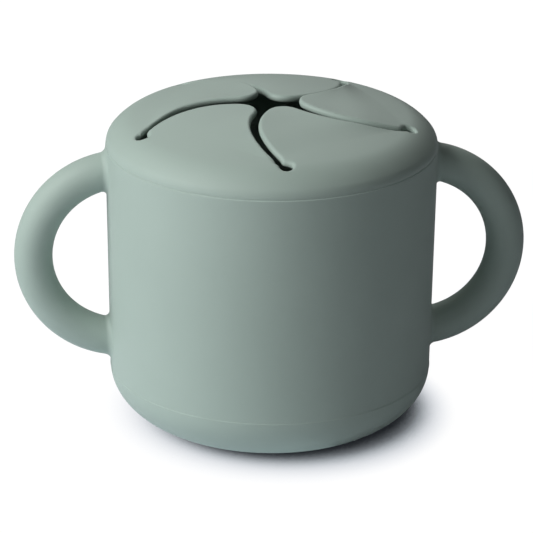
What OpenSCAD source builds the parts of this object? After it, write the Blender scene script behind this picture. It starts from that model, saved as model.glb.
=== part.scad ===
// A toddler's snack cup, moulded in soft silicone: a round cup with two loop
// handles, and a push-on lid whose domed top is slit into five curved flaps.
// A hand pushes in between the flaps, and they close again behind it.
// Millimetres, +Z up. The origin is the middle of the flat foot.

/* [Cup] */
// Outer radius at the rim
rim_r = 44; // [38:0.5:50]
// Height of the rim, where the lid rests
rim_z = 77.2; // [66:0.2:90]
// How much narrower the side is at the waist line than at the rim, for the mould
draft = 0.8; // [0:0.1:3]
// Height of the waist line, where the side starts to turn into the foot
waist_z = 14.9; // [9:0.2:22]
// Radius of the flat foot
foot_r = 22.5; // [16:0.2:32]
// Thickness of the side wall
wall = 2.8; // [2:0.1:4]
// Thickness of the floor
floor_t = 3.6; // [2.4:0.1:6]
// Bevel of the two edges that meet at the seam
seam_bevel = 0.3; // [0.1:0.05:0.6]

/* [Handles] */
// Radius of the loop, to the middle of its round bar
loop_r = 23.9; // [18:0.2:26]
// Diameter of the round bar
bar_d = 10.2; // [7:0.1:13]
// How far the middle of the loop lies inside the cup's outer wall
loop_inset = 4.4; // [0:0.1:8]
// Height of the middle of the loop
loop_z = 47.1; // [38:0.2:52]

/* [Lid] */
// Radius of the turn from the side into the shoulder
shoulder_r = 4.2; // [3:0.2:8]
// How far that turn goes round, in degrees
shoulder_turn = 39; // [30:1:60]
// Radius of the wider turn from the shoulder into the dome
crown_r = 12.8; // [10:0.2:20]
// Radius of the dome
dome_r = 150; // [110:5:400]
// Thickness of the domed sheet
sheet = 2; // [1.2:0.1:3]
// Radius inside the corner, between the sheet and the skirt
corner_r = 4; // [2:0.2:5]
// How far the skirt reaches down into the cup
skirt_h = 9; // [6:0.5:16]
// Thickness of the skirt
skirt_t = 1.6; // [1:0.1:2.4]
// Clearance between the skirt and the cup
skirt_gap = 0.5; // [0.3:0.05:1]
// Clearance between the skirt's sealing rib and the cup
rib_gap = 0.15; // [0.1:0.05:0.3]
// Height of the rib above the skirt's lower edge
rib_up = 3; // [2:0.2:4.5]
// Half the height of the rib
rib_half = 0.9; // [0.4:0.1:1.4]

/* [Flaps] */
// Distance from the middle of the lid to each round slit end
slit_end_r = 37; // [34:0.1:38]
// Direction of the first slit's end, in degrees from +X
slit_turn = 268.7; // [0:0.1:360]
// Diameter of the round hole that ends each slit
relief_d = 3.7; // [2.4:0.1:5]
// Width of a slit at its outer end
slit_end_gap = 0.9; // [0.6:0.05:1.4]
// Width of a slit where it opens into the eye in the middle
slit_eye_gap = 2.6; // [1.6:0.1:3.6]
// How far each slit's curve passes from the middle of the lid
eye_miss = 2.2; // [1.2:0.1:3.2]
// Radius of a flap's bulging leading edge
lead_r = 24.5; // [22:0.1:27]
// Radius of a flap's hollow trailing edge
trail_r = 25.6; // [23:0.1:28]
// Radius of a flap's rounded tip
tip_r = 5; // [3:0.1:6]
// Gap at a flap's root, along its hinge line
root_gap = 0.5; // [0.2:0.05:0.8]
// Length cut off a flap's narrow trailing corner, so that it clears the next flap
corner_trim = 7.5; // [5:0.5:10]
// How far a flap bends outwards, in degrees
flap_up = 20; // [5:1:30]

/* [Hidden] */
$fn = 96;
silicone = [0.60, 0.68, 0.64];
silicone_lid = [0.64, 0.72, 0.68];
silicone_flap = [0.56, 0.64, 0.60];
flap_count = 5;
flap_step = 360 / flap_count;
// Straight pieces in a short arc of a section, and in a flap's long edge
round_steps = 8;
edge_steps = 14;
// How far a cut runs past the face it opens
over = 1;

// Points on a circle about c, from angle a to angle b
function arc(c, r, a, b, n) = [for (i = [0:n]) let (t = a + (b - a) * i / n) c + r * [cos(t), sin(t)]];
// A list without its first item, for where one arc carries on from another
function rest(v) = [for (i = [1:len(v) - 1]) v[i]];
// Direction from p to q, in degrees
function heading(p, q) = atan2(q.y - p.y, q.x - p.x);
// A plan point turned about the middle
function turned(p, t) = [p.x * cos(t) - p.y * sin(t), p.x * sin(t) + p.y * cos(t)];
// Where two circles cross, on the side of the middle of the lid
function crossing(c, r, d, s) =
    let (span = norm(d - c), u = (d - c) / span, along = (r * r - s * s + span * span) / (2 * span),
         across = sqrt(r * r - along * along), foot = c + along * u, side = across * [u.y, -u.x])
    norm(foot + side) < norm(foot - side) ? foot + side : foot - side;

// Outer radius of the cup at the waist line
waist_r = rim_r - draft;
// The foot turns into the side along a quarter of an ellipse
function foot_turn(r0, z0, r1, z1) =
    [for (i = [0:edge_steps]) let (t = 90 * i / edge_steps)
        [r0 + (r1 - r0) * sin(t), z1 - (z1 - z0) * cos(t)]];
// Inner radius of the cup at height z
function bore_r(z) = waist_r - wall + (rim_r - waist_r) * (z - waist_z) / (rim_z - waist_z);

// Lid section: shoulder, crown and dome are three arcs, each tangent to the next
shoulder_c = [rim_r - shoulder_r, rim_z];
crown_c = shoulder_c - (crown_r - shoulder_r) * [cos(shoulder_turn), sin(shoulder_turn)];
dome_c = [0, crown_c.y - sqrt(pow(dome_r - crown_r, 2) - pow(crown_c.x, 2))];
crown_end = heading(dome_c, crown_c);
lid_top = dome_c.y + dome_r;
skirt_z = rim_z - skirt_h;
skirt_out = bore_r(skirt_z) - skirt_gap;
skirt_in = skirt_out - skirt_t;
rib_z = skirt_z + rib_up;
rib_out = bore_r(rib_z) - rib_gap;
under_r = dome_r - sheet;
corner_x = skirt_in - corner_r;
corner_c = [corner_x, dome_c.y + sqrt(pow(under_r - corner_r, 2) - pow(corner_x, 2))];
corner_end = heading(dome_c, corner_c);

// Flap edges, seen from above with the first slit's end on the X axis
slit_end = [slit_end_r, 0];
next_end = turned(slit_end, flap_step);
function edge_c(r, past_eye, past_end) =
    let (far = r + past_eye, out = r + past_end,
         x = (far * far - out * out + slit_end_r * slit_end_r) / (2 * slit_end_r))
    [x, sqrt(far * far - x * x)];
lead_c = edge_c(lead_r, eye_miss + slit_eye_gap / 2, slit_end_gap / 2);
trail_c = turned(edge_c(trail_r, eye_miss - slit_eye_gap / 2, -slit_end_gap / 2), flap_step);
tip_c = crossing(lead_c, lead_r - tip_r, trail_c, trail_r + tip_r);
tip_from = heading(lead_c, tip_c);
tip_to = heading(tip_c, trail_c) - 360;

// Hinge line: the chord between two slit ends, under the sheet
hinge_r = slit_end_r * cos(flap_step / 2);
hinge_half = slit_end_r * sin(flap_step / 2);
root_reach = slit_end_r - relief_d / 2;
hinge_z = dome_c.y + sqrt(under_r * under_r - root_reach * root_reach);
bevel_turn = flap_up + 2;
cut_up = lid_top - hinge_z + over;
hole_z = corner_c.y - over;

module cup_outside() {
    rotate_extrude()
        polygon(concat([[0, 0]], foot_turn(foot_r, 0, waist_r, waist_z),
            [[rim_r, rim_z - seam_bevel], [rim_r - seam_bevel, rim_z], [0, rim_z]]));
}

module cup_hollow() {
    rotate_extrude()
        polygon(concat([[0, floor_t]], foot_turn(foot_r, floor_t, waist_r - wall, waist_z),
            [[bore_r(rim_z + over), rim_z + over], [0, rim_z + over]]));
}

module cup() {
    color(silicone)
        difference() {
            cup_outside();
            cup_hollow();
        }
}

// A loop handle, moulded onto the cup's side: side is 1 for +X and -1 for -X
module handle(side) {
    color(silicone)
        difference() {
            translate([side * (rim_r - loop_inset), 0, loop_z])
                rotate([90, 0, 0])
                    rotate_extrude()
                        translate([loop_r, 0])
                            circle(d = bar_d);
            cup_outside();
        }
}

// The lid in one piece, before it is slit
module lid_blank() {
    rotate_extrude()
        polygon(concat(
            [[rim_r - seam_bevel, rim_z]],
            arc(shoulder_c, shoulder_r, asin(seam_bevel / shoulder_r), shoulder_turn, round_steps),
            rest(arc(crown_c, crown_r, shoulder_turn, crown_end, round_steps)),
            rest(arc(dome_c, dome_r, crown_end, 90, round_steps)),
            arc(dome_c, under_r, 90, corner_end, round_steps),
            rest(arc(corner_c, corner_r, corner_end, 0, round_steps)),
            [[skirt_in, skirt_z], [skirt_out, skirt_z],
             [skirt_out, rib_z - rib_half], [rib_out, rib_z], [skirt_out, rib_z + rib_half],
             [skirt_out, rim_z]]));
}

// The round hole that keeps a slit's end from tearing
module relief_hole() {
    translate([slit_end_r, 0, hole_z])
        cylinder(d = relief_d, h = lid_top - hole_z);
}

// Room behind a flap's root, sloped so that the flap can bend outwards
module root_bevel() {
    front = hinge_r + root_gap / 2;
    rotate([0, 0, flap_step / 2])
        rotate([90, 0, 0])
            linear_extrude(height = 2 * hinge_half, center = true)
                polygon([[hinge_r - over, hinge_z], [front, hinge_z],
                         [front + cut_up * tan(bevel_turn), hinge_z + cut_up],
                         [hinge_r - over, hinge_z + cut_up]]);
}

module lid() {
    color(silicone_lid)
        difference() {
            lid_blank();
            rotate([0, 0, slit_turn]) {
                translate([0, 0, hinge_z - 2 * sheet])
                    cylinder(r = (hinge_r + root_gap / 2) / cos(flap_step / 2), h = cut_up + 2 * sheet,
                             $fn = flap_count);
                for (i = [0:flap_count - 1])
                    rotate([0, 0, i * flap_step]) {
                        relief_hole();
                        root_bevel();
                    }
            }
        }
}

function flap_outline() = concat(
    arc(lead_c, lead_r, heading(lead_c, slit_end), tip_from, edge_steps),
    rest(arc(tip_c, tip_r, tip_from, tip_to, round_steps)),
    rest(arc(trail_c, trail_r, heading(trail_c, tip_c), heading(trail_c, next_end), edge_steps)));

// One flap: its leading edge starts at its own slit, its trailing edge at the next
module flap(i) {
    color(silicone_flap)
        rotate([0, 0, slit_turn + i * flap_step])
            difference() {
                intersection() {
                    lid_blank();
                    translate([0, 0, hinge_z - 2 * sheet])
                        linear_extrude(height = cut_up + 2 * sheet)
                            polygon(flap_outline());
                }
                relief_hole();
                rotate([0, 0, flap_step])
                    relief_hole();
                rotate([0, 0, flap_step / 2]) {
                    translate([hinge_r - root_gap / 2, -hinge_half, hinge_z - 2 * sheet])
                        cube([slit_end_r, 2 * hinge_half, cut_up + 2 * sheet]);
                    translate([hinge_r - relief_d / 2, hinge_half - corner_trim, hinge_z - 2 * sheet])
                        cube([slit_end_r, corner_trim, cut_up + 2 * sheet]);
                }
            }
}

cup();
handle(-1);  // left_handle
handle(1);  // right_handle
lid();
flap(0);  // flap_1
flap(1);  // flap_2
flap(2);  // flap_3
flap(3);  // flap_4
flap(4);  // flap_5
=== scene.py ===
# %% [markdown]
# # A toddler's snack cup in soft silicone
# The real thing is two mouldings of one soft, matte silicone: a round cup with two loop
# handles, and a lid whose domed top is slit into five curved flaps. There is no hardware on
# it, so its looks rest on smooth surfaces that run into each other, on softly rounded edges
# where the flaps are cut, and on an even, powdery finish.
#
# The imported CAD model gives the frame: its bodies, its hinges and its sizes. It is read first,
# and the boxes of its pieces give some of the sizes below.

import math

import bmesh
import bpy
import numpy as np
from mathutils import Matrix, Vector


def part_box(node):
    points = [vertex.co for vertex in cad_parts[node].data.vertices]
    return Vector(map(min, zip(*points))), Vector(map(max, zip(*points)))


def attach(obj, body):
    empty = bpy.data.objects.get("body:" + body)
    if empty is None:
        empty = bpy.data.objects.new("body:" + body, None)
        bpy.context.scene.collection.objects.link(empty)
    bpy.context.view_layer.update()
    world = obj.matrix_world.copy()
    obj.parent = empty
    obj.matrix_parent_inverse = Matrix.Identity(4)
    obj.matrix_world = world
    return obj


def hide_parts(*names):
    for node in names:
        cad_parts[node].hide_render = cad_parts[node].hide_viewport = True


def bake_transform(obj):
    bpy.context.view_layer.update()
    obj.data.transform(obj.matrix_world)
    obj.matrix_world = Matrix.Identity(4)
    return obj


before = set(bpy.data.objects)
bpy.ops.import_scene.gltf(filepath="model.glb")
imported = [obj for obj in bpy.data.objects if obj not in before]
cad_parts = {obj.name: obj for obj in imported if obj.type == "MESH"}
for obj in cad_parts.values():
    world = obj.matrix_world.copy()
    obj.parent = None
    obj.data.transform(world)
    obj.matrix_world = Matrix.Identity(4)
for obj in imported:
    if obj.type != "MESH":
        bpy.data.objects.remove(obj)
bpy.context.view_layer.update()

# %% [markdown]
# ## Sizes
# The cup's sizes are in millimetres, and a mesh is scaled to metres when it is made. The floor
# and the lamps are given in metres. The rim is read from the CAD nodes, because most other places
# are worked out from it. What belongs to one piece stands at the top of that piece's own cell.

# %% The rim, where cup and lid meet
MM = 0.001
rim_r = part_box("lid")[1].x / MM
rim_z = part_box("cup")[1].z / MM
print(f"rim: radius {rim_r:.2f} at height {rim_z:.2f}")

# %% [markdown]
# ## Arcs
# A mould for silicone is turned and milled, so its sections are mostly straight lines and arcs
# that run into each other. Two helpers make them: one gives the unit vector of a direction, and
# the other lays points along an arc.

# %% Directions and arcs
def turn_to(degrees):
    """The unit vector in a direction: its cosine and its sine."""
    angle = np.radians(degrees)
    return np.stack([np.cos(angle), np.sin(angle)], -1)


def arc(centre, radius, start, stop, pieces):
    """Points on a circle, from start to stop degrees: the centre plus the radius times the unit
    vector of each direction."""
    return np.asarray(centre) + radius * turn_to(np.linspace(start, stop, pieces + 1))


print("a quarter of a circle in two pieces:", arc((0, 0), 1, 0, 90, 2).round(3).tolist())

# %% [markdown]
# ## From an array of points to a mesh
# Every piece here is a grid of points, worked out as whole numpy arrays. One helper turns such
# a grid into a mesh. A direction that closes on itself joins its last row to its first. Where a
# row shrinks to one point, as at a pole, its points are merged, so the piece is closed. The
# sign of the enclosed volume tells whether the faces look outwards.

# %% A grid of points becomes a mesh
def surface(name, grid, round_rows=False, round_columns=False, crease=40):
    """A smooth mesh on a grid of points in millimetres, closed where it is round, with its
    coinciding points merged, and turned so that the volume it encloses is positive."""
    rows, columns = grid.shape[:2]
    i, j = np.meshgrid(
        np.arange(rows if round_rows else rows - 1),
        np.arange(columns if round_columns else columns - 1),
        indexing="ij",
    )
    up, right = (i + 1) % rows, (j + 1) % columns
    quads = np.stack(
        [i * columns + j, up * columns + j, up * columns + right, i * columns + right], -1
    ).reshape(-1, 4)
    points = grid.reshape(-1, 3) * MM
    a, b, c, d = (points[quads[:, k]] for k in range(4))
    volume = (np.cross(a, b) * c).sum() + (np.cross(a, c) * d).sum()
    if volume < 0:
        quads = quads[:, ::-1]
    mesh = bpy.data.meshes.new(name)
    mesh.from_pydata(points.tolist(), [], quads.tolist())
    shape = bmesh.new()
    shape.from_mesh(mesh)
    bmesh.ops.remove_doubles(shape, verts=shape.verts, dist=1e-6)
    open_edges = sum(1 for e in shape.edges if len(e.link_faces) != 2)
    shape.to_mesh(mesh)
    shape.free()
    mesh.shade_smooth()
    mesh.set_sharp_from_angle(angle=math.radians(crease))
    piece = bpy.data.objects.new(name, mesh)
    bpy.context.scene.collection.objects.link(piece)
    volume_mm3 = abs(volume) / 6 / MM**3
    print(f"{name}: {len(mesh.polygons)} faces, {open_edges} open edges, {volume_mm3:.0f} mm3")
    return piece


# %% [markdown]
# ## A painted highlight on the rim
# A narrow band along the outer edge of the cup's rim is painted paler, as a highlight on the
# rounded edge, most towards the right, where the lamps leave that edge in shade. The band could
# be painted on a map, but it follows a simple rule. It is a product of four shares: of the height
# from below and from above, of the distance from the axis, and of the place from left to right.

# %% How strongly the painted highlight lies at each point
# The band of painted highlight: its height, its reach from the axis, and its rise from left to
# right towards the shaded side.
highlight_z = rim_z - 0.12
highlight_half = 0.24
highlight_core = 0.4 * highlight_half
highlight_from = rim_r - 0.7
highlight_full = highlight_from + 0.2
highlight_left, highlight_right = -30, 12


def share_node(tree, value, low, high):
    """How far a value has come from low to high: 0 before the one and 1 past the other."""
    node = tree.nodes.new("ShaderNodeMapRange")
    node.inputs["From Min"].default_value = low
    node.inputs["From Max"].default_value = high
    tree.links.new(value, node.inputs["Value"])
    return node.outputs["Result"]


def product_node(tree, value, other):
    """One value times another."""
    node = tree.nodes.new("ShaderNodeMath")
    node.operation = "MULTIPLY"
    tree.links.new(value, node.inputs[0])
    tree.links.new(other, node.inputs[1])
    return node.outputs["Value"]


def painted_highlight_band(tree, place):
    """From 0 to 1, how strongly the painted highlight lies at a place, as a product of four shares.
    The distance from the axis is the length of the place with its height left out."""
    parts = tree.nodes.new("ShaderNodeSeparateXYZ")
    tree.links.new(place, parts.inputs["Vector"])
    flat = tree.nodes.new("ShaderNodeCombineXYZ")
    tree.links.new(parts.outputs["X"], flat.inputs["X"])
    tree.links.new(parts.outputs["Y"], flat.inputs["Y"])
    out = tree.nodes.new("ShaderNodeVectorMath")
    out.operation = "LENGTH"
    tree.links.new(flat.outputs["Vector"], out.inputs[0])
    height = parts.outputs["Z"]
    over_low = share_node(tree, height, (highlight_z - highlight_half) * MM, (highlight_z - highlight_core) * MM)
    under_high = share_node(tree, height, (highlight_z + highlight_half) * MM, (highlight_z + highlight_core) * MM)
    at_edge = share_node(tree, out.outputs["Value"], highlight_from * MM, highlight_full * MM)
    toward_right = share_node(tree, parts.outputs["X"], highlight_left * MM, highlight_right * MM)
    at_height = product_node(tree, over_low, under_high)
    return product_node(tree, at_height, product_node(tree, at_edge, toward_right))


print(f"rubbed band: {2 * highlight_half:.2f} mm high about {highlight_z:.2f}, from radius {highlight_from:.2f}")

# %% [markdown]
# ## Silicone
# Moulded silicone has one colour all through. It looks powdery: broad soft shading, no sharp
# highlight, and a grain too fine to make out. The base colour drifts a little over the surface
# on a slow noise. A fast noise gives the grain through a very shallow bump, and a third one lets
# the roughness wander, as it does where hands have polished it.

# %% The silicone material
sage_deep = (0.347, 0.433, 0.388, 1)
sage_pale = (0.364, 0.452, 0.405, 1)
# The paler sage below is a painted highlight along the rim's edge, not a colour of the silicone.
sage_painted_highlight = (0.46, 0.565, 0.515, 1)
drift_scale, polish_scale, grain_scale = 28, 90, 3200


def silicone_material():
    """Sage silicone: a slow colour drift, a painted rim highlight, uneven roughness and fine grain.
    """
    material = bpy.data.materials.new("sage_silicone")
    material.use_nodes = True
    tree = material.node_tree
    nodes, links = tree.nodes, tree.links
    shader = nodes["Principled BSDF"]
    place = nodes.new("ShaderNodeTexCoord").outputs["Object"]

    def noise(scale, detail):
        """Noise on the object's own coordinates, in metres."""
        node = nodes.new("ShaderNodeTexNoise")
        node.inputs["Scale"].default_value = scale
        node.inputs["Detail"].default_value = detail
        links.new(place, node.inputs["Vector"])
        return node.outputs["Fac"]

    tint = nodes.new("ShaderNodeValToRGB")
    tint.color_ramp.elements[0].position = 0.3
    tint.color_ramp.elements[1].position = 0.7
    tint.color_ramp.elements[0].color = sage_deep
    tint.color_ramp.elements[1].color = sage_pale
    links.new(noise(drift_scale, 3), tint.inputs["Fac"])

    # The rim band mixes in the paler sage as a painted highlight.
    band = painted_highlight_band(tree, place)
    highlighted = nodes.new("ShaderNodeMix")
    highlighted.data_type = "RGBA"
    links.new(band, highlighted.inputs["Factor"])
    links.new(tint.outputs["Color"], highlighted.inputs["A"])
    highlighted.inputs["B"].default_value = sage_painted_highlight
    links.new(highlighted.outputs["Result"], shader.inputs["Base Color"])

    polish = nodes.new("ShaderNodeMapRange")
    polish.inputs["To Min"].default_value = 0.52
    polish.inputs["To Max"].default_value = 0.64
    links.new(noise(polish_scale, 4), polish.inputs["Value"])
    links.new(polish.outputs["Result"], shader.inputs["Roughness"])

    grain = nodes.new("ShaderNodeBump")
    grain.inputs["Strength"].default_value = 0.25
    grain.inputs["Distance"].default_value = 0.00004
    links.new(noise(grain_scale, 3), grain.inputs["Height"])
    links.new(grain.outputs["Normal"], shader.inputs["Normal"])

    shader.inputs["Specular IOR Level"].default_value = 0.32
    shader.inputs["Sheen Weight"].default_value = 0.06
    shader.inputs["Sheen Roughness"].default_value = 0.5
    return material


silicone = silicone_material()
print("material:", silicone.name, len(silicone.node_tree.nodes), "nodes")

# %% [markdown]
# ## Handing a piece over
# Both mouldings are one material, and each Blender piece takes the place of one plain CAD piece.
# So every piece is finished in the same way: it gets the silicone and its slot, and the CAD node
# it replaces is hidden. Where a piece rides on a body, that is said beside the piece.

# %% Finish a piece
def finish_piece(piece, *nodes):
    """The piece gets the silicone, and the CAD nodes it stands for are hidden."""
    piece.data.materials.append(silicone)
    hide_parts(*nodes)
    return piece


print("each finished piece carries", silicone.name, "in its first slot")

# %% [markdown]
# ## The cup
# The cup is a shape turned round its axis, so a lathe is the natural way to make it. The
# profile runs from the middle of the foot, out and up the side, over the rim and down the
# inside to the middle of the floor. The flat foot swells into the side along a quarter of an
# ellipse. Where the two halves of the mould meet, at the waist, a hair-fine line stands out.

# %% The curves of the cup's wall
draft = 0.8
waist_r = rim_r - draft
waist_z = 14.9
foot_r = 22.5
wall = 2.8
floor_t = 3.6
line_half = 0.22
line_high = 0.08


def foot_turn(r0, z0, r1, z1, pieces=40):
    """A quarter of an ellipse: the radius grows with the sine of the angle, and the height stays
    below the upper end by its cosine."""
    across, over = turn_to(np.linspace(90, 0, pieces + 1)).T
    return np.stack([r0 + (r1 - r0) * across, z1 - (z1 - z0) * over], -1)


def side_r(z):
    """Outer radius of the straight side at height z."""
    return waist_r + draft * (z - waist_z) / (rim_z - waist_z)


def mould_line(z):
    """A ridge round the side: line_high proud at the waist, and gone line_half away from it, down
    half a wave of the cosine."""
    apart = np.clip(np.abs(z - waist_z) / line_half, 0, 1)
    return line_high * (1 + np.cos(np.pi * apart)) / 2


print(f"the side leans out from {side_r(waist_z):.2f} to {side_r(rim_z):.2f} mm")

# %% [markdown]
# The rim's outer corner is nearly sharp, so that lid and cup meet in a thin line. The mouth's
# corner is rounder, because small hands reach in over it. The stretches are joined end to end,
# without the points that two of them would share, and the whole is turned once round.

# %% The cup, turned on a lathe
rim_round = 0.32
mouth_round = 0.8


def lathe(profile, segments=256):
    """A profile of radius and height turned once round the vertical axis: x and y are the
    radius times the unit vector of each direction, and z is the height."""
    around = turn_to(np.arange(segments) * 360 / segments)
    flat = around[:, None, :] * profile[None, :, :1]
    height = np.broadcast_to(profile[None, :, 1:], (segments, len(profile), 1))
    return np.concatenate([flat, height], -1)


line_z = waist_z + np.linspace(0, 1, 7) * line_half
side_z = np.linspace(waist_z + line_half, rim_z - rim_round, 60)
outside = foot_turn(foot_r, 0, waist_r, waist_z)
line = np.stack([side_r(line_z) + mould_line(line_z), line_z], -1)
side = np.stack([side_r(side_z), side_z], -1)
rim = arc((rim_r - rim_round, rim_z - rim_round), rim_round, 0, 90, 8)
bore_top = rim_r - wall
mouth = arc((bore_top + mouth_round, rim_z - mouth_round), mouth_round, 90, 180, 8)
inside_z = np.linspace(rim_z - mouth_round, waist_z, 50)
inside = np.stack([side_r(inside_z) - wall, inside_z], -1)
bottom = foot_turn(foot_r, floor_t, waist_r - wall, waist_z)[::-1]
flat_foot = np.stack([np.linspace(0, foot_r, 12), np.zeros(12)], -1)
flat_floor = np.stack([np.linspace(foot_r, 0, 12), np.full(12, floor_t)], -1)
cup_profile = np.concatenate(
    [
        flat_foot[:-1],
        outside[:-1],
        line,
        side[1:-1],
        rim,
        mouth,
        inside[1:-1],
        bottom,
        flat_floor[1:],
    ]
)
cup = finish_piece(surface("silicone_cup", lathe(cup_profile), round_rows=True), "cup")
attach(cup, "cup")

# %% [markdown]
# ## The loop handles
# Each handle is a round bar bent into a loop and moulded onto the side. A bare torus would meet
# the side in a hard corner, but a real mould has a small fillet there. The bar's surface is
# therefore followed into the wall: over the last stretch its radius widens on a quarter circle
# that touches the bar at one end and the wall at the other.
#
# At a given distance from the wall and a given direction round the bar, the place along the
# loop follows from the cosine of its angle. The wall leans a little with height, so that is
# repeated a few times until it settles.

# %% Where a loop meets the wall
bar_r = 5.1
loop_inset = 4.4
loop_x = rim_r - loop_inset
loop_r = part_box("right_handle")[1].x / MM - bar_r - loop_x
loop_z = (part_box("right_handle")[0].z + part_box("right_handle")[1].z) / 2 / MM
settling = 6


def loop_angle(away, radius, around, side_up):
    """The angle along the loop, in degrees, at which the bar's surface is a distance away from
    the cup's wall. The wall's radius is taken at the height that the last round gave."""
    reach = loop_r + radius * np.cos(around)
    height = np.full(np.broadcast(away, radius, around).shape, loop_z + side_up * loop_r)
    for _ in range(settling):
        out = np.sqrt((side_r(height) + away) ** 2 - (radius * np.sin(around)) ** 2)
        angle = np.arccos((out - loop_x) / reach)
        height = loop_z + side_up * reach * np.sin(angle)
    return side_up * np.degrees(angle)


print(f"loop: radius {loop_r:.2f} about {loop_x:.2f} out and {loop_z:.2f} up")

# %% [markdown]
# The loop is one grid: a row of points round the bar is carried from the upper end, which hides
# inside the wall, to the lower one. The upper fillet stops just under the rim, where it would
# otherwise reach into the lid.

# %% The two loops, with a fillet where they meet the cup
fillet_r = 1.6
sunk = 0.8
under_rim = 0.1
bar_sides = 72
fillet_rows = 15
bar_rows = 150


def loop_surface(hand):
    """A bar carried along a loop. Rows run along it: its end inside the wall, the fillet, the
    bar, the other fillet and the other end. hand is 1 towards +X and -1 towards -X."""
    around = np.radians(np.arange(bar_sides) * 360 / bar_sides)[None, :]
    opening = np.radians(np.linspace(90, 0, fillet_rows))[:, None]
    radius = bar_r + fillet_r * (1 - np.cos(opening)) + 0 * around
    away = fillet_r * (1 - np.sin(opening)) + 0 * around
    radius = np.concatenate([radius[:1], radius])
    away = np.concatenate([away[:1] - sunk, away])
    top = loop_angle(away, radius, around, 1)
    low = loop_angle(away, radius, around, -1)
    along = np.linspace(0, 1, bar_rows)[1:-1, None]
    bar = top[-1] + (low[-1] - top[-1]) * along
    angle = np.radians(np.concatenate([top, bar, low[::-1]]))
    bar_radius = np.concatenate([radius, np.full(bar.shape, bar_r), radius[::-1]])
    reach = loop_r + bar_radius * np.cos(around)
    grid = np.stack(
        [
            hand * (loop_x + reach * np.cos(angle)),
            bar_radius * np.sin(around) + 0 * angle,
            np.minimum(loop_z + reach * np.sin(angle), rim_z - under_rim),
        ],
        -1,
    )
    ends = [np.broadcast_to(row.mean(0), row.shape)[None] for row in (grid[0], grid[-1])]
    return np.concatenate([ends[0], grid, ends[1]])


for hand, node in ((-1, "left_handle"), (1, "right_handle")):
    loop = surface("silicone_" + node, loop_surface(hand), round_columns=True)
    finish_piece(loop, node)
    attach(loop, "cup")

# %% [markdown]
# ## The lid's section
# From the rim the lid rises through three arcs that run into each other: a tight shoulder, a
# wider crown and a nearly flat dome. The sheet is 2 mm thick. Below it a skirt plugs into the
# cup, and a rounded corner joins the two. The height of the top and of the underside are both
# functions of the distance from the middle, so that the lid's ring and its flaps share them.

# %% Circles of the lid's section
shoulder_r = 4.2
shoulder_turn = 39
crown_r = 12.8
dome_r = 150
sheet = 2
corner_r = 4
skirt_h = 9
skirt_t = 1.6
skirt_gap = 0.5


def heading(p, q):
    """The direction from p to q in degrees."""
    return math.degrees(math.atan2(q[1] - p[1], q[0] - p[0]))


shoulder_c = np.array([rim_r - shoulder_r, rim_z])
crown_c = shoulder_c - (crown_r - shoulder_r) * turn_to(shoulder_turn)
dome_z = crown_c[1] - math.sqrt((dome_r - crown_r) ** 2 - crown_c[0] ** 2)
crown_end = heading((0, dome_z), crown_c)
under_r = dome_r - sheet
skirt_z = rim_z - skirt_h
skirt_out = side_r(skirt_z) - wall - skirt_gap
skirt_in = skirt_out - skirt_t
corner_c = np.array([skirt_in - corner_r, 0.0])
corner_c[1] = dome_z + math.sqrt((under_r - corner_r) ** 2 - corner_c[0] ** 2)
corner_end = heading((0, dome_z), corner_c)
print(f"top of the dome at {dome_z + dome_r:.2f} mm, its underside at {dome_z + under_r:.2f} mm")

# %% [markdown]
# An arc is read as a height: at a distance from the axis, the circle's centre plus a square
# root. Each arc is used up to the place where the next one takes over. There the two have the
# same height and the same slope, so no edge shows.

# %% Heights of the lid's top and underside
def on_circle(r, centre, radius):
    """Height of the upper half of a circle at distance r from the axis."""
    return centre[1] + np.sqrt(np.maximum(radius**2 - (r - centre[0]) ** 2, 0))


def top_z(r):
    """Height of the lid's top: the dome, then the crown, then the shoulder."""
    crown_from = dome_r * turn_to(crown_end)[0]
    shoulder_from = shoulder_c[0] + shoulder_r * turn_to(shoulder_turn)[0]
    dome = on_circle(r, (0, dome_z), dome_r)
    crown = on_circle(r, crown_c, crown_r)
    shoulder = on_circle(r, shoulder_c, shoulder_r)
    return np.where(r < crown_from, dome, np.where(r < shoulder_from, crown, shoulder))


def under_z(r):
    """Height of the lid's underside: the dome's inner face, then the corner above the skirt."""
    corner_from = under_r * turn_to(corner_end)[0]
    dome = on_circle(r, (0, dome_z), under_r)
    return np.where(r < corner_from, dome, on_circle(r, corner_c, corner_r))


print("top at 0, 20 and 40 mm out:", top_z(np.array([0, 20, 40])).round(2).tolist())

# %% [markdown]
# ## The slits
# A slit runs from a round hole near the shoulder to the eye in the middle. The hole keeps the
# silicone from tearing. Between two slits lies a flap: its leading edge bulges, its trailing
# edge is hollow, and its tip is round. The edges are arcs, worked out once for one flap, with
# the first slit's end on the X axis. A slit's two edges have radii of their own, so it is wide
# at the eye and narrow at its end. The hole sits off the slit, towards the leading edge, so the
# trailing edge runs nearly straight in.

# %% The circles of one flap's edges
flap_count = 5
flap_step = 360 / flap_count
slit_end_r = 37
slit_end_gap = 0.9
slit_eye_gap = 2.6
eye_miss = 2.2
lead_r = 24.5
trail_r = 25.6
tip_r = 5
relief_r = 1.7
hole_shift = 0.65


def turned(points, degrees):
    """Plan points turned about the middle."""
    c, s = turn_to(degrees)
    return points @ np.array([[c, s], [-s, c]])


def edge_centre(radius, past_eye, past_end):
    """Centre of an edge's arc, from its known distances to the middle and to the slit's end."""
    far, out = radius + past_eye, radius + past_end
    x = (far**2 - out**2 + slit_end_r**2) / (2 * slit_end_r)
    return np.array([x, math.sqrt(far**2 - x**2)])


def crossing(c, r, d, s):
    """Where two circles cross, on the side of the middle of the lid."""
    span = math.dist(c, d)
    u = (d - c) / span
    along = (r * r - s * s + span * span) / (2 * span)
    across = math.sqrt(r * r - along * along)
    sides = c + along * u + across * np.array([[u[1], -u[0]], [-u[1], u[0]]])
    return sides[np.argmin(np.linalg.norm(sides, axis=1))]


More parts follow.
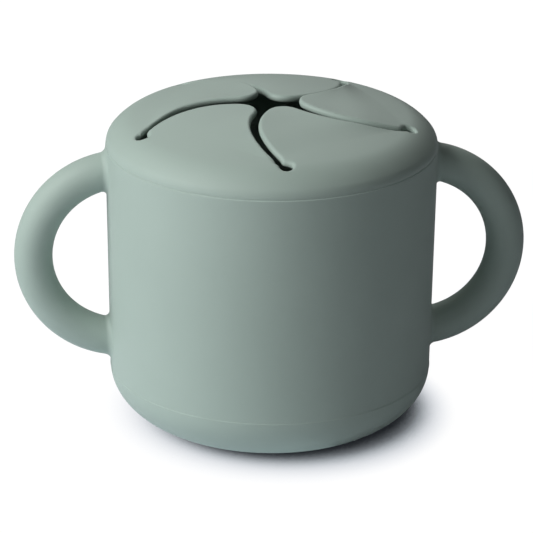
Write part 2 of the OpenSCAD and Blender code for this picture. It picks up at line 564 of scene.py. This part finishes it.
lead_c = edge_centre(lead_r, eye_miss + slit_eye_gap / 2, slit_end_gap / 2)
slit_end = np.array([slit_end_r, 0.0])
hole_c = slit_end + hole_shift * turn_to(heading(slit_end, lead_c))
next_c = turned(hole_c, flap_step)
chord_heading = heading(hole_c, next_c)
trail_c = turned(edge_centre(trail_r, eye_miss - slit_eye_gap / 2, -slit_end_gap / 2), flap_step)
tip_c = crossing(lead_c, lead_r - tip_r, trail_c, trail_r + tip_r)
lead_neck = crossing(lead_c, lead_r, hole_c, relief_r)
trail_neck = crossing(trail_c, trail_r, next_c, relief_r)
print("hole at", hole_c.round(2), "next at", next_c.round(2), "tip's centre", tip_c.round(2))

# %% [markdown]
# The leading edge starts on the hole's rim at the hinge chord, the line from hole to hole that
# is the flap's root. It goes round the hole to the neck where hole and slit meet, and then along
# its arc and half-way round the tip. The trailing edge starts at the next hole's neck, follows
# an arc of its own, and comes to the same point of the tip from the other side.

# %% The two edges of one flap
def near(angle, other):
    """The angle, give or take whole turns, that lies nearest to the other."""
    return other + (angle - other + 180) % 360 - 180


tip_from = heading(lead_c, tip_c)
tip_to = heading(tip_c, trail_c) - 360
tip_mid = (tip_from + tip_to) / 2
hole_to = near(heading(hole_c, lead_neck), chord_heading)
lead_from = near(heading(lead_c, lead_neck), tip_from)
lead_edge = np.concatenate(
    [
        arc(hole_c, relief_r, chord_heading, hole_to, 30),
        arc(lead_c, lead_r, lead_from, tip_from, 300)[1:],
        arc(tip_c, tip_r, tip_from, tip_mid, 60)[1:],
    ]
)
trail_to = heading(trail_c, tip_c)
trail_from = near(heading(trail_c, trail_neck), trail_to)
trail_edge = np.concatenate(
    [
        arc(trail_c, trail_r, trail_from, trail_to, 330),
        arc(tip_c, tip_r, tip_to, tip_mid, 60)[1:],
    ]
)
print(f"flap edges: {len(lead_edge)} and {len(trail_edge)} points")

# %% [markdown]
# The arcs meet in corners at the necks, and a moulded slit has none. So the whole cut, from one
# end of the root to the other, is averaged along its length with a bell, and split at the tip
# again.

# %% The cut, with its corners softened
def walk(path, shares):
    """Points at given shares of a path's length, each coordinate read off along the length."""
    steps = np.concatenate([[0], np.cumsum(np.linalg.norm(np.diff(path, axis=0), axis=1))])
    return np.stack([np.interp(shares * steps[-1], steps, path[:, k]) for k in (0, 1)], -1)


def softened(path, reach=0.9, step=0.05):
    """The path averaged along its length with a bell of that reach, which rounds its corners.
    Its ends are carried on by a half turn about themselves, so they stay where they are."""
    length = np.linalg.norm(np.diff(path, axis=0), axis=1).sum()
    even = walk(path, np.linspace(0, 1, int(length / step)))
    pad = int(4 * reach / step)
    before = 2 * even[0] - even[pad:0:-1]
    after = 2 * even[-1] - even[-2 : -pad - 2 : -1]
    longer = np.concatenate([before, even, after])
    bell = np.exp(-0.5 * (np.arange(-pad, pad + 1) * step / reach) ** 2)
    bell /= bell.sum()
    return np.stack([np.convolve(longer[:, k], bell, "valid") for k in (0, 1)], -1)


cut = softened(np.concatenate([lead_edge, trail_edge[-2::-1]]))
tip_point = tip_c + tip_r * turn_to(tip_mid)
tip_index = np.argmin(np.linalg.norm(cut - tip_point, axis=1))
lead_edge, trail_edge = cut[: tip_index + 1], cut[tip_index:][::-1]
print(f"cut: {len(cut)} points, tip at", cut[tip_index].round(2))

# %% [markdown]
# ## Rounded cut edges
# A cut edge is softly rounded, top and bottom. A Bevel modifier could do that, but ring and
# flaps are pieces of their own, and their edges have to match. Here the height that an edge
# loses depends only on how far a point lies from the nearest cut, so ring and flap agree.

# %% How much height an edge loses
edge_round = 0.95


def from_cut(plan, path):
    """Distance of each plan point from a cut: the shortest distance to any of the path's straight
    pieces, where the foot of the perpendicular is kept between the piece's two ends."""
    start, span = path[:-1], np.diff(path, axis=0)
    found = np.empty(plan.shape[:2])
    for k, row in enumerate(plan):
        offset = row[:, None, :] - start
        share = np.clip((offset * span).sum(-1) / (span**2).sum(-1), 0, 1)
        found[k] = np.linalg.norm(offset - share[..., None] * span, axis=-1).min(1)
    return found


def loss(distance):
    """How much height a softly rounded edge loses at a distance from the cut: a quarter circle."""
    short = np.clip(1 - distance / edge_round, 0, 1)
    return edge_round * (1 - np.sqrt(1 - short**2))


print("lost at 0, 0.3 and 0.95 mm:", loss(np.array([0, 0.3, 0.95])).round(3).tolist())

# %% [markdown]
# ## The lid's ring
# The ring is what stays when the flaps are cut out. Seen from above, its inner edge follows the
# holes and the chords, and its outer edge is the round shoulder. Straight ribs in plan join the
# two. Only one of five equal sectors is worked out, from one hole to the next.

# %% The ring in plan
ribs_hole = 44
ribs_chord = 56
fan = 14

chord_share = (1 - np.cos(np.linspace(0, np.pi, ribs_chord + 1))) / 2
chord_from = hole_c + relief_r * turn_to(chord_heading)
chord_to = trail_neck
chord_points = chord_from + (chord_to - chord_from) * chord_share[:, None]
trail_side = heading(next_c, trail_neck) - flap_step
hole_points = arc(hole_c, relief_r, near(trail_side, -chord_heading), chord_heading, ribs_hole)
inner = np.concatenate([hole_points[:-1], chord_points[:-1]])
outer_turn = np.concatenate(
    [np.linspace(-fan, fan, ribs_hole + 1)[:-1], fan + (flap_step - 2 * fan) * chord_share[:-1]]
)


def ribs(shares, radius):
    """Plan points on straight ribs from the inner edge to a circle, at each share of the way."""
    outer = radius * turn_to(outer_turn)
    return inner[:, None, :] + (outer - inner)[:, None, :] * shares[None, :, None]


print(f"{len(inner)} ribs in a sector, chord {math.dist(chord_from, chord_to):.2f} mm long")

# %% [markdown]
# Each rib takes its height from the lid's section, less what the rounded edge loses. On top the
# points crowd towards the cut, where the rounding needs them, and on the underside towards the
# corner above the skirt. The underside's rounding stops just short of its full height, which
# leaves a thin wall between the two.

# %% Top and underside of the ring
top_to = 40.2
ring_top = 26
ring_under = 26
top_crowd, under_crowd = 2, 2.2
lip_most = 0.9


def lifted(plan, height):
    """Plan points with a height added to each."""
    return np.concatenate([plan, height[..., None]], -1)


def from_edge(plan):
    """Distance of a plan point from the nearest of its sector's two holes and two cuts."""
    centres = np.stack([hole_c, next_c])
    holes = np.linalg.norm(plan[..., None, :] - centres, axis=-1).min(-1) - relief_r
    cuts = np.minimum(from_cut(plan, cut), from_cut(plan, turned(cut, -flap_step)))
    return np.minimum(holes, cuts)


top_plan = ribs(np.linspace(0, 1, ring_top) ** top_crowd, top_to)
top = lifted(top_plan, top_z(np.linalg.norm(top_plan, axis=-1)) - loss(from_edge(top_plan)))
under_shares = 1 - (1 - np.linspace(0, 1, ring_under)) ** under_crowd
under_plan = ribs(under_shares, skirt_in)[:, ::-1]
near_hole = np.minimum(loss(from_edge(under_plan)), lip_most)
under = lifted(under_plan, under_z(np.linalg.norm(under_plan, axis=-1)) + near_hole)
print(f"top from {top[..., 2].min():.2f} up, underside down to {under[..., 2].min():.2f} mm")

# %% [markdown]
# The rest of the section goes down the outside and round the skirt, and is carried along the
# outer edge as on a lathe. The shoulder draws in a trace before the rim, so that lid and cup
# meet in a soft seam, and a small bead round the skirt helps it to seal. The sector is then
# repeated round the axis, from the direction in which the first slit ends.

# %% The ring, one sector turned five times
slit_turn = 268.7
seam_inset = 0.12
seam_round = 0.04
shoulder_stop = 2
rib_up, rib_half, rib_high = 3.0, 0.9, 0.3
skirt_round = 0.5
ring_wall = 5

ring_from = math.degrees(math.acos((top_to - crown_c[0]) / crown_r))
drawn_in = np.linspace(0, seam_inset, 18)[:, None] * np.array([1, 0])
round_c = (rim_r - seam_inset - seam_round, rim_z + seam_round)
rib_z = skirt_z + rib_up
skirt_low = skirt_z + skirt_round
skirt_wall = np.linspace(skirt_z + 2 * skirt_round, corner_c[1], 9)[:-1]
outer_profile = np.concatenate(
    [
        arc(crown_c, crown_r, ring_from, shoulder_turn, 16)[1:],
        arc(shoulder_c, shoulder_r, shoulder_turn, shoulder_stop, 18)[1:] - drawn_in,
        arc(round_c, seam_round, 0, -90, 5),
        [[skirt_out, rim_z], [skirt_out, rib_z + rib_half]],
        [[skirt_out + rib_high, rib_z], [skirt_out, rib_z - rib_half]],
        arc((skirt_out - skirt_round, skirt_low), skirt_round, 0, -90, 6),
        arc((skirt_in + skirt_round, skirt_low), skirt_round, -90, -180, 6),
        np.stack([np.full(8, skirt_in), skirt_wall], -1),
    ]
)
around = turn_to(outer_turn)[:, None, :] * outer_profile[None, :, :1]
outside_grid = lifted(around, np.broadcast_to(outer_profile[None, :, 1], around.shape[:2]))
climb = np.linspace(0, 1, ring_wall + 2)[1:-1, None]
wall_grid = under[:, -1:, :] + (top[:, :1, :] - under[:, -1:, :]) * climb[None]
sector = np.concatenate([top, outside_grid, under, wall_grid], 1)


def turned_grid(grid, degrees):
    """A grid of points turned about the vertical axis."""
    return np.concatenate([turned(grid[..., :2], degrees), grid[..., 2:]], -1)


turns = [slit_turn + k * flap_step for k in range(flap_count)]
ring_grid = np.concatenate([turned_grid(sector, degrees) for degrees in turns])
ring = surface("silicone_lid", ring_grid, round_rows=True, round_columns=True)
finish_piece(ring, "lid")
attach(ring, "lid")

# %% [markdown]
# ## The flaps
# A flap is a closed band carried from its root to its tip. Each rib across it runs from the
# leading edge to the trailing edge, over the top one way and along the underside the other. The
# ribs crowd together near the tip, and their points near the edges, so that the rounding stays
# smooth. One flap is worked out first as it would lie with nothing bent.

# %% One flap that lies flat
flap_rows = 120
tip_crowd = 1.7

shares = 1 - (1 - np.linspace(0, 1, flap_rows + 1)) ** tip_crowd
lead = walk(lead_edge, shares)[:, None, :]
trail = walk(trail_edge, shares)[:, None, :]
lead[0], trail[0] = chord_from, chord_to
flap_plan = lead + (trail - lead) * chord_share[None, :, None]

rounding = loss(from_cut(flap_plan, cut))
flap_radius = np.linalg.norm(flap_plan, axis=-1)
flap_top = lifted(flap_plan, top_z(flap_radius) - rounding)
flap_under = lifted(flap_plan, under_z(flap_radius) + rounding)[:, ::-1]
print(f"flap: {len(shares)} ribs of {len(chord_share)} points on each side")

# %% [markdown]
# ## A set for each flap
# The five flaps have been pushed open many times, and none of them lies quite flat. Each one
# has a small set of its own: how far its leading side, its trailing side and its tip stand up,
# how far each side has shifted sideways, and how far the tip has drawn back. The rise starts
# from nothing at the root and is fully there a little before half-way. The edges curl up more
# than the middle, and the sideways shift bows out between the root and the tip.

# %% Each flap's set
rise_share = 0.42
tip_share = 0.45
middle_share = 0.35
bow_full, bow_falls, bow_ends = 0.15, 0.2, 0.85
flap_sets = {
    "flap_1": {"lead": (0.75, 1.5), "trail": (1.0, 0.0), "tip": (0.9, 0.0)},
    "flap_2": {"lead": (0.9, 0.0), "trail": (1.3, 0.0), "tip": (0.9, 1.6)},
    "flap_3": {"lead": (-0.3, 0.0), "trail": (-0.6, 0.0), "tip": (-0.2, 0.0)},
    "flap_4": {"lead": (0.9, 0.0), "trail": (1.15, 0.0), "tip": (1.1, 0.0)},
    "flap_5": {"lead": (0.4, 0.0), "trail": (0.5, 1.8), "tip": (0.2, 0.5)},
}
outwards = turn_to(flap_step / 2)
onwards = turn_to(flap_step / 2 + 90)


def ease(share):
    """A smooth step from 0 to 1: three squares less two cubes of the share, kept within 0 and 1."""
    share = np.clip(share, 0, 1)
    return share**2 * (3 - 2 * share)


def raised(lead, trail, tip):
    """How far each point of a flap has moved. lead and trail give how far up and how far sideways
    each side lies; tip gives how far up and how far back. The sides' rises run into the tip's, and
    between the sides the middle follows by middle_share only."""
    grown = ease(shares / rise_share)[:, None]
    at_tip = ease((shares - 1 + tip_share) / tip_share)[:, None]
    curl = middle_share + (1 - middle_share) * (2 * chord_share - 1) ** 2
    up = curl * (lead[0] + (trail[0] - lead[0]) * chord_share)
    aside = lead[1] + (trail[1] - lead[1]) * chord_share
    lift = grown * (up + (tip[0] - up) * at_tip)
    bow_fades = ease((shares - bow_falls) / (bow_ends - bow_falls))
    bowed = ease(shares / bow_full) * (1 - bow_fades)
    shift = (bowed[:, None] * aside)[..., None] * onwards
    return lifted(shift + tip[1] * (shares**2)[:, None, None] * outwards, lift)


for node, flap_set in flap_sets.items():
    heights = raised(**flap_set)[..., 2]
    print(node, f"lies {heights.min():.2f} to {heights.max():.2f} mm above flat")

# %% [markdown]
# ## Each flap a piece of its own
# On the real lid nothing marks the root: the silicone simply bends there. A rigid flap would tear
# from the ring when it turns. Here each flap is a closed piece of its own, turned to its place
# round the axis.


def flap_grid(number, flap_set):
    """The flap's band with its set added, closed by a wall along each edge and at the root."""
    moved = raised(**flap_set)
    upper, lower = flap_top + moved, flap_under + moved[:, ::-1]
    trail_wall = (upper[:, -1:] + lower[:, :1]) / 2
    lead_wall = (lower[:, -1:] + upper[:, :1]) / 2
    band = np.concatenate([upper, trail_wall, lower, lead_wall], 1)
    middle = (upper[0] + lower[0, ::-1]) / 2
    root = np.concatenate([middle, middle[-1:], middle[::-1], middle[:1]])[None]
    return turned_grid(np.concatenate([root, band]), slit_turn + number * flap_step)


for number, (node, flap_set) in enumerate(flap_sets.items()):
    flap = surface("silicone_" + node, flap_grid(number, flap_set), round_columns=True)
    finish_piece(flap, node)
    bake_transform(flap)

# %% [markdown]
# ## Camera
# A long lens from a little above, nearly square to the handles. The camera aims at a point on
# the axis and then turns by a fraction of a degree, which places the cup in the frame.

# %% The camera
picture = 533
sensor = 36.0
focal_px = 3178.4
distance = 855.9
elevation = 22.277
swing = 6.422
aim_z = 35.0
right_px, up_px = 4.18, 23.45
nudge_right = math.atan2(right_px, focal_px)
nudge_up = math.atan2(up_px, focal_px)
roll = 0.0086


def camera_matrix():
    """Columns are the camera's right, up and backward directions: looking at the aim from its
    elevation, tipped by one small angle, panned by another, then rolled."""
    lift = math.radians(elevation)
    forward, right = Vector((0, math.cos(lift), -math.sin(lift))), Vector((1, 0, 0))
    up = right.cross(forward)
    up, forward = (
        up * math.cos(nudge_up) - forward * math.sin(nudge_up),
        up * math.sin(nudge_up) + forward * math.cos(nudge_up),
    )
    right, forward = (
        right * math.cos(nudge_right) + forward * math.sin(nudge_right),
        -right * math.sin(nudge_right) + forward * math.cos(nudge_right),
    )
    right, up = (
        right * math.cos(roll) + up * math.sin(roll),
        up * math.cos(roll) - right * math.sin(roll),
    )
    basis = Matrix((right, up, -forward)).transposed().to_4x4()
    place = Vector((0, -distance * math.cos(lift), aim_z + distance * math.sin(lift))) * MM
    around = Matrix.Rotation(-math.radians(swing), 4, "Z")
    return around @ Matrix.Translation(place) @ basis


camera = bpy.data.objects.new("camera", bpy.data.cameras.new("camera"))
camera.data.sensor_width = sensor
camera.data.lens = focal_px / picture * sensor
camera.data.clip_start, camera.data.clip_end = 0.01, 20
camera.matrix_world = camera_matrix()
bpy.context.scene.collection.objects.link(camera)
bpy.context.scene.camera = camera
place = [round(c, 4) for c in camera.matrix_world.translation]
print("camera at", place, f"lens {camera.data.lens:.1f} mm")

# %% [markdown]
# ## The floor
# The camera sees the floor as white wherever it lies open, and darker only close round the foot.
# There it is dimmed by ambient occlusion, which looks half-way towards the big lamp, so the
# shade is deeper on the far side, as a shadow is. A table of tones turns the open share of what
# each point of the floor sees into a shade. All other rays meet a pale floor of its own, so the
# light that comes up from it is not changed by that table.

# %% The floor's finish
key_turn = -66
shade_reach = 0.013
shade_tilt = 42
shade_tones = (
    (0.25, (0.012, 0.014, 0.017)),
    (0.33, (0.085, 0.095, 0.105)),
    (0.44, (0.40, 0.43, 0.46)),
    (0.58, (0.70, 0.72, 0.755)),
    (0.78, (0.90, 0.91, 0.93)),
    (0.97, (1, 1, 1)),
)
floor_catch = (0.04, 0.04, 0.04, 1)
floor_pale = (0.65, 0.67, 0.72, 1)


def azimuth_of(turn):
    """A turn in degrees from the camera's own direction, minus to the left, as the angle in
    radians from the X axis."""
    return math.radians(turn - swing - 90)


def floor_material():
    """White floor. Camera rays see plain white dimmed by the occlusion round the foot, plus a
    little of the light that falls on it. Other rays see a pale diffuse floor, a trace cool."""
    material = bpy.data.materials.new("white_floor")
    material.use_nodes = True
    nodes, links = material.node_tree.nodes, material.node_tree.links
    nodes.clear()
    nearness = nodes.new("ShaderNodeAmbientOcclusion")
    nearness.inputs["Distance"].default_value = shade_reach
    nearness.samples = 16
    lean = nodes.new("ShaderNodeCombineXYZ")
    side, tilt = azimuth_of(key_turn), math.radians(shade_tilt)
    lean.inputs["X"].default_value = math.cos(side) * math.sin(tilt)
    lean.inputs["Y"].default_value = math.sin(side) * math.sin(tilt)
    lean.inputs["Z"].default_value = math.cos(tilt)
    links.new(lean.outputs["Vector"], nearness.inputs["Normal"])
    tone = nodes.new("ShaderNodeValToRGB")
    ramp = tone.color_ramp.elements
    ramp[0].position, ramp[1].position = shade_tones[0][0], shade_tones[-1][0]
    for position, _ in shade_tones[1:-1]:
        ramp.new(position)
    for element, (_, colour) in zip(ramp, shade_tones):
        element.color = (*colour, 1)
    glow = nodes.new("ShaderNodeEmission")
    glow.inputs["Strength"].default_value = 1.0
    lit = nodes.new("ShaderNodeBsdfDiffuse")
    lit.inputs["Color"].default_value = floor_catch
    seen = nodes.new("ShaderNodeAddShader")
    white = nodes.new("ShaderNodeBsdfDiffuse")
    white.inputs["Color"].default_value = floor_pale
    rays = nodes.new("ShaderNodeLightPath")
    choice = nodes.new("ShaderNodeMixShader")
    output = nodes.new("ShaderNodeOutputMaterial")
    links.new(nearness.outputs["AO"], tone.inputs["Fac"])
    links.new(tone.outputs["Color"], glow.inputs["Color"])
    links.new(glow.outputs["Emission"], seen.inputs[0])
    links.new(lit.outputs["BSDF"], seen.inputs[1])
    links.new(rays.outputs["Is Camera Ray"], choice.inputs["Fac"])
    links.new(white.outputs["BSDF"], choice.inputs[1])
    links.new(seen.outputs["Shader"], choice.inputs[2])
    links.new(choice.outputs["Shader"], output.inputs["Surface"])
    return material


white_floor = floor_material()
print("material:", white_floor.name, len(white_floor.node_tree.nodes), "nodes")

# %% [markdown]
# The floor itself is one large square.

# %% The floor
floor_half = 3.0
corners = np.array([[-1, -1, 0], [1, -1, 0], [1, 1, 0], [-1, 1, 0]]) * floor_half
floor_mesh = bpy.data.meshes.new("floor")
floor_mesh.from_pydata(corners.tolist(), [], [(0, 1, 2, 3)])
floor_mesh.materials.append(white_floor)
floor = bpy.data.objects.new("floor", floor_mesh)
bpy.context.scene.collection.objects.link(floor)
print(f"floor: {2 * floor_half:.0f} m square")

# %% [markdown]
# ## Lamps
# One large soft lamp stands to the left of the camera, a little above the cup, and leaves the
# right side in shade. What light reaches that side comes up from the pale floor. A lamp behind
# the cup and a faint one in front soften the contrast.

# %% The lamps
lamp_aim = Vector((0, 0, 0.045))


def soft_lamp(name, turn, lift, away, size, power):
    """A square area lamp that looks at the cup. Its turn is from the camera's own direction,
    its lift is an elevation, both in degrees, and away is its distance."""
    lamp = bpy.data.objects.new(name, bpy.data.lights.new(name, "AREA"))
    lamp.data.shape = "SQUARE"
    lamp.data.size = size
    lamp.data.energy = power
    side, rise = azimuth_of(turn), math.radians(lift)
    flat = Vector((math.cos(side), math.sin(side), 0)) * math.cos(rise)
    back = flat + Vector((0, 0, math.sin(rise)))
    lamp.location = lamp_aim + back * away
    lamp.rotation_mode = "QUATERNION"
    lamp.rotation_quaternion = back.to_track_quat("Z", "Y")
    bpy.context.scene.collection.objects.link(lamp)
    print(f"{name}: {power} W at", [round(c, 2) for c in lamp.location])


soft_lamp("key_lamp", turn=key_turn, lift=36, away=0.75, size=0.52, power=6.2)
soft_lamp("back_lamp", turn=-185, lift=38, away=0.9, size=0.6, power=1.65)
soft_lamp("fill_lamp", turn=18, lift=42, away=0.9, size=0.6, power=0.46)

# %% [markdown]
# A white table throws light up at what stands on it, most on the side of the lamp. A round card
# that lies on the floor to the left of the foot does that here. It is faint and a little cool,
# shines upwards at the curve below the waist, and is not seen itself.

# %% The card on the floor
card_size = 0.16
card_power = 0.0155
card_tint = (0.80, 0.93, 1.0)
card_out = 0.068
card_z = 0.001

card = bpy.data.objects.new("floor_card", bpy.data.lights.new("floor_card", "AREA"))
card.data.shape = "DISK"
card.data.size = card_size
card.data.energy = card_power
card.data.color = card_tint
card.visible_camera = False
card_side = azimuth_of(key_turn)
card.location = (card_out * math.cos(card_side), card_out * math.sin(card_side), card_z)
card.rotation_euler = (math.pi, 0, 0)
bpy.context.scene.collection.objects.link(card)
print(f"floor_card: {card_power} W at", [round(c, 3) for c in card.location])

# %% [markdown]
# ## Sky
# The sky is white to the camera, as a studio backdrop is, and dim to the object, so that the
# lamps alone shape it. Which of the two a ray meets is decided by the kind of ray. The
# Standard view keeps every tone as it was worked out.

# %% The sky
sky_level = 0.015

world = bpy.data.worlds.new("white_sky")
world.use_nodes = True
bpy.context.scene.world = world
sky_nodes, sky_links = world.node_tree.nodes, world.node_tree.links
sky = sky_nodes["Background"]
sky.inputs["Color"].default_value = (1, 1, 1, 1)
sky.inputs["Strength"].default_value = sky_level
backdrop = sky_nodes.new("ShaderNodeBackground")
backdrop.inputs["Color"].default_value = (1, 1, 1, 1)
backdrop.inputs["Strength"].default_value = 1.0
ray = sky_nodes.new("ShaderNodeLightPath")
swap = sky_nodes.new("ShaderNodeMixShader")
sky_links.new(ray.outputs["Is Camera Ray"], swap.inputs["Fac"])
sky_links.new(sky.outputs["Background"], swap.inputs[1])
sky_links.new(backdrop.outputs["Background"], swap.inputs[2])
sky_links.new(swap.outputs["Shader"], sky_nodes["World Output"].inputs["Surface"])
bpy.context.scene.view_settings.view_transform = "Standard"
print("sky:", sky_level, "to the object, 1 to the camera")
